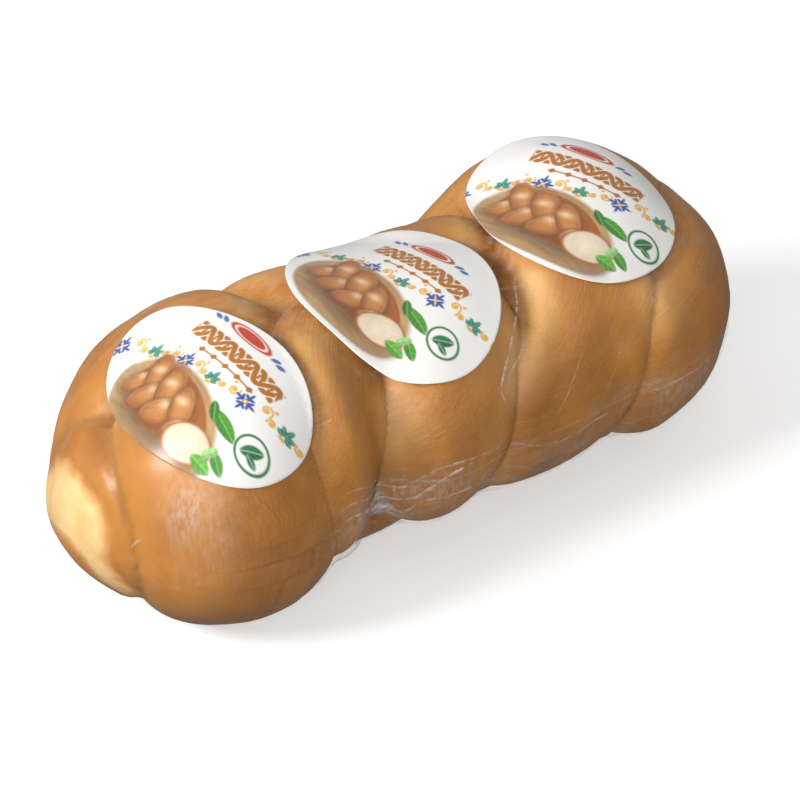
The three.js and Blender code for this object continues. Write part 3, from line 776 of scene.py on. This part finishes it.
label_obs = []
for name, (cx, cy), nn, turn, (LONG, SHORT), art_turn in LABELS:
    n, e1, e2 = label_axes(nn, turn)
    coarse = 2.0
    fine = 6
    us = np.arange(-62, 62.01, coarse)
    vs = np.arange(-54, 54.01, coarse)
    U, V = np.meshgrid(us, vs, indexing="ij")
    Q = np.array([cx, cy, 108.0]) + U.reshape(-1, 1) * e1 + V.reshape(-1, 1) * e2
    Q_UV = (U.ravel(), V.ravel())
    t = film_along(Q, n)
    un, vn = Q_UV[0] / LONG, Q_UV[1] / SHORT
    M = np.column_stack([un ** i * vn ** j for i in range(4) for j in range(4) if i + j <= (2 if name == "label_middle" else 3)])
    near_ = 1 - 0.95 * sstep(0.95, 1.15, np.hypot(un, vn))
    wt = near_.copy()
    for _ in range(8):
        fit = M @ np.linalg.lstsq(M * wt[:, None], t * wt, rcond=None)[0]
        wt = near_ * np.where(t > fit, 1.0, 0.55)
    stiff = 0.66 * (fit + 0.4) + 0.34 * t
    least = t + 0.34
    t = 0.5 * (stiff + least + np.sqrt((stiff - least) ** 2 + 0.8 ** 2))
    P = (Q + t[:, None] * n).reshape(U.shape + (3,))
    P = cubic_up(cubic_up(P, fine, 0), fine, 1)
    uf = cubic_up(us[:, None], fine, 0)[:, 0]
    vf = cubic_up(vs[:, None], fine, 0)[:, 0]
    UU, VV = np.meshgrid(uf, vf, indexing="ij")
    K = np.sqrt((UU / LONG) ** 2 + (VV / SHORT) ** 2)
    th = np.arctan2(VV / SHORT, UU / LONG)
    K = K / (1 + sum(a_ * np.cos((i_ + 1) * th) + b_ * np.sin((i_ + 1) * th) for i_, (a_, b_) in enumerate(EASE[name])))
    idx = np.arange(UU.size).reshape(UU.shape)
    kc = 0.25 * (K[:-1, :-1] + K[1:, :-1] + K[:-1, 1:] + K[1:, 1:])
    keep = kc < 0.997
    q = np.stack([idx[:-1, :-1], idx[1:, :-1], idx[1:, 1:], idx[:-1, 1:]], -1)[keep]
    # pull the outermost vertices onto the oval
    used = np.zeros(UU.size, bool)
    used[q.ravel()] = True
    edges = np.concatenate([q[:, [0, 1]], q[:, [1, 2]], q[:, [2, 3]], q[:, [3, 0]]])
    key = np.sort(edges, 1)
    _, inv, cnt = np.unique(key[:, 0] * UU.size + key[:, 1], return_inverse=True, return_counts=True)
    bedge = edges[cnt[inv] == 1]
    bv = np.unique(bedge)
    Pf = P.reshape(-1, 3)
    uu, vv, kk = UU.ravel().copy(), VV.ravel().copy(), K.ravel()
    hu, hv = uf[1] - uf[0], vf[1] - vf[0]
    tu, tv = uu[bv] / kk[bv], vv[bv] / kk[bv]
    fu = np.clip((tu - uf[0]) / hu, 0, len(uf) - 1.001)
    fv = np.clip((tv - vf[0]) / hv, 0, len(vf) - 1.001)
    iu, iv = fu.astype(int), fv.astype(int)
    du, dv = (fu - iu)[:, None], (fv - iv)[:, None]
    newp = (P[iu, iv] * (1 - du) * (1 - dv) + P[iu + 1, iv] * du * (1 - dv) + P[iu, iv + 1] * (1 - du) * dv + P[iu + 1, iv + 1] * du * dv)
    Pf = Pf.copy()
    Pf[bv] = newp
    uu[bv], vv[bv] = tu, tv
    # paper thickness: a short wall round the edge, down to a ring of points under it
    remap = -np.ones(UU.size, int)
    ids = np.flatnonzero(used)
    remap[ids] = np.arange(len(ids))
    top = Pf[ids]
    faces = remap[q]
    m = len(ids)
    low = Pf[bv] - n * 0.22
    inn = Pf[bv] - n * 0.22
    bmap = -np.ones(UU.size, int)
    bmap[bv] = m + np.arange(len(bv))
    wall = np.stack([remap[bedge[:, 1]], remap[bedge[:, 0]], bmap[bedge[:, 0]], bmap[bedge[:, 1]]], -1)
    verts = np.vstack([top, low])
    ob = make_mesh(name + "_print", verts, faces.tolist() + wall.tolist())
    s = 0.11
    au = np.concatenate([uu[ids], uu[bv]])
    av = np.concatenate([vv[ids], vv[bv]])
    tw = math.radians(art_turn - turn)
    au, av = au * math.cos(tw) + av * math.sin(tw), -au * math.sin(tw) + av * math.cos(tw)
    col = sum(paint(au + a, av + b) for a in (-s, s) for b in (-s, s)) / 4
    put(ob, "art", np.column_stack([col, np.ones(len(col))]))
    put(ob, "uvmm", np.column_stack([au, av, np.zeros(len(au))]))
    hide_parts(name)
    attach(ob, "root")
    label_obs.append(ob)


# ============================================================ materials
class Mat:
    def __init__(self, name):
        self.m = bpy.data.materials.new(name)
        self.m.use_nodes = True
        self.t = self.m.node_tree
        self.t.nodes.clear()
        self.out = self.t.nodes.new("ShaderNodeOutputMaterial")
        self.bsdf = self.t.nodes.new("ShaderNodeBsdfPrincipled")
        self.t.links.new(self.bsdf.outputs[0], self.out.inputs[0])

    def node(self, kind, **kw):
        n = self.t.nodes.new(kind)
        for k, v in kw.items():
            setattr(n, k, v)
        return n

    def link(self, a, b):
        self.t.links.new(a, b)

    def set(self, sock, v):
        self.bsdf.inputs[sock].default_value = v

    def attr(self, name, what="Fac"):
        return self.node("ShaderNodeAttribute", attribute_name=name).outputs[what]

    def math(self, op, a, b=None, clamp=False):
        n = self.node("ShaderNodeMath", operation=op, use_clamp=clamp)
        for i, x in enumerate((a, b)):
            if x is None:
                continue
            if isinstance(x, (int, float)):
                n.inputs[i].default_value = x
            else:
                self.link(x, n.inputs[i])
        return n.outputs[0]

    def ramp(self, fac, stops):
        n = self.node("ShaderNodeValToRGB")
        el = n.color_ramp.elements
        while len(el) < len(stops):
            el.new(0.5)
        for e, (p, c) in zip(el, stops):
            e.position = p
            e.color = (*c, 1) if len(c) == 3 else c
        self.link(fac, n.inputs[0])
        return n.outputs[0]

    def mix(self, fac, a, b, blend="MIX"):
        n = self.node("ShaderNodeMix", data_type="RGBA", blend_type=blend)
        for s, x in ((n.inputs[0], fac), (n.inputs[6], a), (n.inputs[7], b)):
            if isinstance(x, (int, float)):
                s.default_value = x
            elif isinstance(x, (tuple, list, np.ndarray)):
                s.default_value = (*[float(k) for k in x][:3], 1)
            else:
                self.link(x, s)
        return n.outputs[2]

    def noise(self, vec, scale, detail=3, rough=0.5, stretch=None, dist=0.0):
        n = self.node("ShaderNodeTexNoise")
        n.inputs["Scale"].default_value = scale
        n.inputs["Detail"].default_value = detail
        n.inputs["Roughness"].default_value = rough
        n.inputs["Distortion"].default_value = dist
        if stretch is not None:
            mp = self.node("ShaderNodeMapping")
            mp.inputs["Scale"].default_value = stretch
            self.link(vec, mp.inputs[0])
            vec = mp.outputs[0]
        self.link(vec, n.inputs["Vector"])
        return n.outputs["Fac"]

    def map(self, x, a, b, c=0.0, d=1.0):
        n = self.node("ShaderNodeMapRange", clamp=True)
        self.link(x, n.inputs[0])
        for i, k in enumerate((a, b, c, d)):
            n.inputs[i + 1].default_value = k
        return n.outputs[0]

    def bump(self, layers):
        """layers: (height, strength, distance in m)."""
        prev = None
        for h, s, dist in layers:
            n = self.node("ShaderNodeBump")
            n.inputs["Strength"].default_value = s
            n.inputs["Distance"].default_value = dist
            self.link(h, n.inputs["Height"])
            if prev is not None:
                self.link(prev, n.inputs["Normal"])
            prev = n.outputs[0]
        return prev


# ---- smoked curd skin
m = Mat("smoked_skin")
pos = m.node("ShaderNodeTexCoord").outputs["Object"]
fibv = m.attr("fib", "Vector")
big = m.noise(pos, 24, 4, 0.55)
mid = m.noise(pos, 95, 4, 0.6)
fine_n = m.noise(pos, 700, 3, 0.6)
straight = m.attr("straight")
fibre = m.noise(fibv, 1.0, 4, 0.6, stretch=(0.030, 0.62, 0.0), dist=0.4)
fibre = m.math("ADD", 0.5, m.math("MULTIPLY", m.math("SUBTRACT", fibre, 0.5), straight))
fibre2 = m.noise(fibv, 1.0, 3, 0.6, stretch=(0.075, 1.9, 0.0))
fibre2 = m.math("ADD", 0.45, m.math("MULTIPLY", m.math("SUBTRACT", fibre2, 0.45), straight))
tone_ = m.attr("tone")
t1 = m.math("ADD", m.math("MULTIPLY", tone_, 0.50), m.math("MULTIPLY", big, 0.26))
t2 = m.math("ADD", t1, m.math("MULTIPLY", mid, 0.14))
t3 = m.math("ADD", t2, m.math("MULTIPLY", fibre, 0.22))
skin = m.ramp(t3, [(0.30, lin(142, 84, 28)), (0.46, lin(170, 107, 40)), (0.62, lin(192, 127, 52)), (0.84, lin(214, 154, 78))])
valley = m.attr("valley")
skin = m.mix(m.math("MULTIPLY", valley, m.map(big, 0.3, 0.7, 0.25, 0.60)), skin, lin(158, 110, 36))
# painted light on the lobe crowns and shoulders
skin = m.mix(m.math("MULTIPLY", m.attr("crown"), 0.30), skin, lin(200, 138, 72))
skin = m.mix(m.map(fibre2, 0.42, 0.72, 0.0, 0.20), skin, lin(212, 154, 88))
# painted highlight along the lobe edges beside the creases
skin = m.mix(m.math("MULTIPLY", m.attr("edge"), m.map(big, 0.40, 0.65, 0.05, 0.50)), skin, lin(222, 172, 100))
# painted shade: darker towards the bottom
skin = m.mix(m.math("MULTIPLY", m.attr("low"), 0.45), skin, lin(122, 82, 42))
skin = m.mix(m.math("MULTIPLY", m.attr("shade"), 0.42), skin, lin(126, 78, 32))
# painted shade in the narrow creases
skin = m.mix(m.math("MULTIPLY", m.attr("crease"), 0.44), skin, lin(100, 60, 20))
# painted highlights along the fold strip and on two spots
skin = m.mix(m.math("MULTIPLY", m.attr("painted_highlight"), 0.80, clamp=True), skin, lin(240, 192, 128))
# painted shade in the near end's fold and pit
skin = m.mix(m.math("MULTIPLY", m.attr("fold"), 0.80), skin, lin(128, 70, 26))
cr = m.attr("cream")
cream_rim = m.math("MULTIPLY", m.math("MULTIPLY", cr, m.math("SUBTRACT", 1.0, cr)), 4.0)
creamc = m.mix(m.map(mid, 0.3, 0.7), lin(214, 172, 108), lin(230, 196, 138))
# painted shade: the cream patch darker and more orange towards the bottom
creamc = m.mix(m.math("MULTIPLY", m.attr("low"), 0.9), creamc, lin(214, 156, 90))
skin = m.mix(cr, skin, creamc)
skin = m.mix(m.math("MULTIPLY", cream_rim, 0.35), skin, lin(214, 142, 66))
m.link(skin, m.bsdf.inputs["Base Color"])
m.link(m.map(m.math("ADD", m.math("MULTIPLY", mid, 0.6), m.math("MULTIPLY", fibre, 0.4)), 0.3, 0.7, 0.36, 0.52), m.bsdf.inputs["Roughness"])
m.set("Specular IOR Level", 0.30)
m.set("Subsurface Weight", 0.08)
m.set("Subsurface Radius", (0.004, 0.0016, 0.0006))
m.set("Subsurface Scale", 1.0)
m.set("Coat Weight", 0.24)
m.set("Coat Roughness", 0.24)
m.set("Coat IOR", 1.42)
nrm = m.bump([(fibre, 0.55, 0.0006), (fibre2, 0.45, 0.00022), (mid, 0.35, 0.0006), (fine_n, 0.18, 0.00010)])
m.link(nrm, m.bsdf.inputs["Normal"])
m.link(m.bump([(mid, 0.25, 0.0005), (fibre, 0.35, 0.0005)]), m.bsdf.inputs["Coat Normal"])
SKIN = m.m

# ---- clear film
m = Mat("clear_film")
pos = m.node("ShaderNodeTexCoord").outputs["Object"]
n1 = m.noise(pos, 210, 4, 0.65, stretch=(0.5, 1.0, 1.0))
n2 = m.noise(pos, 620, 3, 0.6, stretch=(1.0, 1.0, 0.25))
n3 = m.noise(pos, 420, 3, 0.65, stretch=(0.22, 1.0, 1.0))
streak = m.math("MULTIPLY", m.map(n1, 0.50, 0.74), m.map(n2, 0.42, 0.70))
al = m.math("ADD", 0.012, m.math("MULTIPLY", m.attr("ridge"), m.map(n1, 0.38, 0.7, 0.0, 0.22)))
al = m.math("ADD", al, m.math("MULTIPLY", m.attr("web"), m.map(n3, 0.38, 0.66, 0.05, 0.75)))
# painted highlights: whitish film haze in soft patches
al = m.math("ADD", al, m.math("MULTIPLY", m.attr("highlight_haze"), m.map(n2, 0.35, 0.66, 0.05, 0.40)))
al = m.math("ADD", al, m.math("MULTIPLY", m.attr("creasy"), m.math("MULTIPLY", streak, 0.30)), clamp=True)
m.link(al, m.bsdf.inputs["Alpha"])
m.link(m.mix(m.map(n1, 0.3, 0.7), (0.95, 0.92, 0.87), (0.84, 0.80, 0.74)), m.bsdf.inputs["Base Color"])
m.link(m.map(n2, 0.3, 0.7, 0.10, 0.24), m.bsdf.inputs["Roughness"])
m.set("IOR", 1.49)
m.set("Specular IOR Level", 0.7)
m.link(m.bump([(n1, 0.5, 0.0006), (n2, 0.4, 0.00025)]), m.bsdf.inputs["Normal"])
FILM = m.m

m = Mat("film_welt")
pos = m.node("ShaderNodeTexCoord").outputs["Object"]
n1 = m.noise(pos, 260, 4, 0.65)
n2 = m.noise(pos, 900, 2, 0.6)
al = m.math("MULTIPLY", m.attr("strength"), m.map(n1, 0.38, 0.68, 0.0, 0.55), clamp=True)
m.link(al, m.bsdf.inputs["Alpha"])
m.link(m.mix(m.map(n2, 0.3, 0.7), (0.93, 0.90, 0.85), (0.80, 0.74, 0.66)), m.bsdf.inputs["Base Color"])
m.link(m.map(n1, 0.3, 0.7, 0.12, 0.28), m.bsdf.inputs["Roughness"])
m.set("IOR", 1.49)
m.link(m.bump([(n2, 0.4, 0.0002)]), m.bsdf.inputs["Normal"])
WELT = m.m

# ---- printed paper
m = Mat("printed_paper")
uv = m.attr("uvmm", "Vector")
f1 = m.noise(uv, 3.2, 3, 0.6)
f2 = m.noise(uv, 0.9, 3, 0.6)
art = m.attr("art", "Color")
m.link(m.mix(m.map(f1, 0.3, 0.7, 0.0, 0.05), art, lin(214, 208, 196)), m.bsdf.inputs["Base Color"])
m.link(m.map(f2, 0.3, 0.7, 0.30, 0.42), m.bsdf.inputs["Roughness"])
m.set("Coat Weight", 0.25)
m.set("Coat Roughness", 0.22)
m.link(m.bump([(f1, 0.25, 0.00005), (f2, 0.35, 0.00016)]), m.bsdf.inputs["Normal"])
PAPER = m.m

# painted highlights: soft patches of whitish, streaky film haze where the highlights fall
HIGHLIGHT_HAZE = [((-136, -50, 75), (8, 15), 0.8), ((-128, -57, 66), (10, 17), 0.4), ((-22, -64, 40), (18, 9), 0.6), ((-60, -64, 46), (16, 12), 0.6),
        ((104, -64, 40), (24, 12), 0.5), ((40, -62, 32), (24, 10), 0.35), ((42, -46, 90), (8, 14), 0.25), ((-60, 60, 60), (14, 16), 0.4), ((70, 68, 60), (16, 16), 0.4)]
hz = np.zeros(len(P_F))
for c, (w_, h_), k in HIGHLIGHT_HAZE:
    q = P_F - np.array(c)
    hz = np.maximum(hz, k * np.exp(-((q[:, 0] ** 2 + q[:, 1] ** 2) / w_ ** 2 + q[:, 2] ** 2 / h_ ** 2)))
put(film, "highlight_haze", hz)

for ob, mt in [(cheese, SKIN), (film, FILM), (weld_ob, WELT), (folds_ob, WELT)] + [(o, PAPER) for o in label_obs]:
    ob.data.materials.clear()
    ob.data.materials.append(mt)

# ============================================================ stage
sc = bpy.context.scene
fm = Mat("floor_white")
fm.set("Base Color", (0.75, 0.75, 0.75, 1))
fm.set("Roughness", 0.9)
fm.set("Specular IOR Level", 0.0)
fm.set("Emission Color", (1, 1, 1, 1))
fm.set("Emission Strength", 0.45)
me = bpy.data.meshes.new("studio_floor")
me.from_pydata([(-6, -6, 0), (6, -6, 0), (6, 6, 0), (-6, 6, 0)], [], [(0, 1, 2, 3)])
floor = bpy.data.objects.new("studio_floor", me)
floor.location.z = -0.0004
sc.collection.objects.link(floor)
me.materials.append(fm.m)
floor.visible_diffuse = floor.visible_glossy = False        # the table gives the loaf no bounce light

world = bpy.data.worlds.new("studio")
sc.world = world
world.use_nodes = True
wt_ = world.node_tree
bg = wt_.nodes["Background"]
tc = wt_.nodes.new("ShaderNodeTexCoord")
sx = wt_.nodes.new("ShaderNodeSeparateXYZ")
mr = wt_.nodes.new("ShaderNodeMapRange")
wt_.links.new(tc.outputs["Generated"], sx.inputs[0])
wt_.links.new(sx.outputs["Z"], mr.inputs[0])
for i, k in enumerate((-0.35, 0.25, 0.22, 0.44)):
    mr.inputs[i + 1].default_value = k
wt_.links.new(mr.outputs[0], bg.inputs[1])
bg.inputs[0].default_value = (1.0, 1.0, 1.0, 1)

AZ, EL, LENS, F_PX, S_PX = math.radians(-38.7), math.radians(33.0), 200.0, 200.0 / 36 * 800, 2.52
back = np.array([math.sin(AZ) * math.cos(EL), -math.cos(AZ) * math.cos(EL), math.sin(EL)])
right = np.array([math.cos(AZ), math.sin(AZ), 0.0])
up = np.cross(back, right)
aim = np.array([0, 0, 52.0]) + SHIFT + right * (12 / S_PX) - up * (19 / S_PX)
cd = bpy.data.cameras.new("cam")
cd.lens, cd.sensor_width = LENS, 36.0
cd.clip_start, cd.clip_end = 0.05, 50
cam = bpy.data.objects.new("cam", cd)
sc.collection.objects.link(cam)
sc.camera = cam
rot = Matrix((right, up, back)).transposed()
cam.matrix_world = Matrix.Translation(Vector((aim + back * (F_PX / S_PX)) * MM)) @ rot.to_4x4()


def softbox(name, direction, dist, size, power):
    ld = bpy.data.lights.new(name, "AREA")
    ld.shape, ld.size, ld.energy = "DISK", size, power
    lo = bpy.data.objects.new(name, ld)
    d = Vector(direction).normalized()
    lo.location = d * dist + Vector((0, 0, 0.05))
    lo.rotation_euler = d.to_track_quat("Z", "Y").to_euler()
    sc.collection.objects.link(lo)


toward = np.array([back[0], back[1], 0]) / np.linalg.norm(back[:2])
Z = np.array([0, 0, 1.0])
softbox("key", -right * 0.80 + Z * 0.60 + toward * 0.46, 1.5, 0.60, 20.5)
softbox("fill", -right * 0.05 + Z * 0.34 + toward * 0.94, 1.9, 1.1, 15.0)
sc.view_settings.view_transform = "Standard"
sc.view_settings.look = "None"
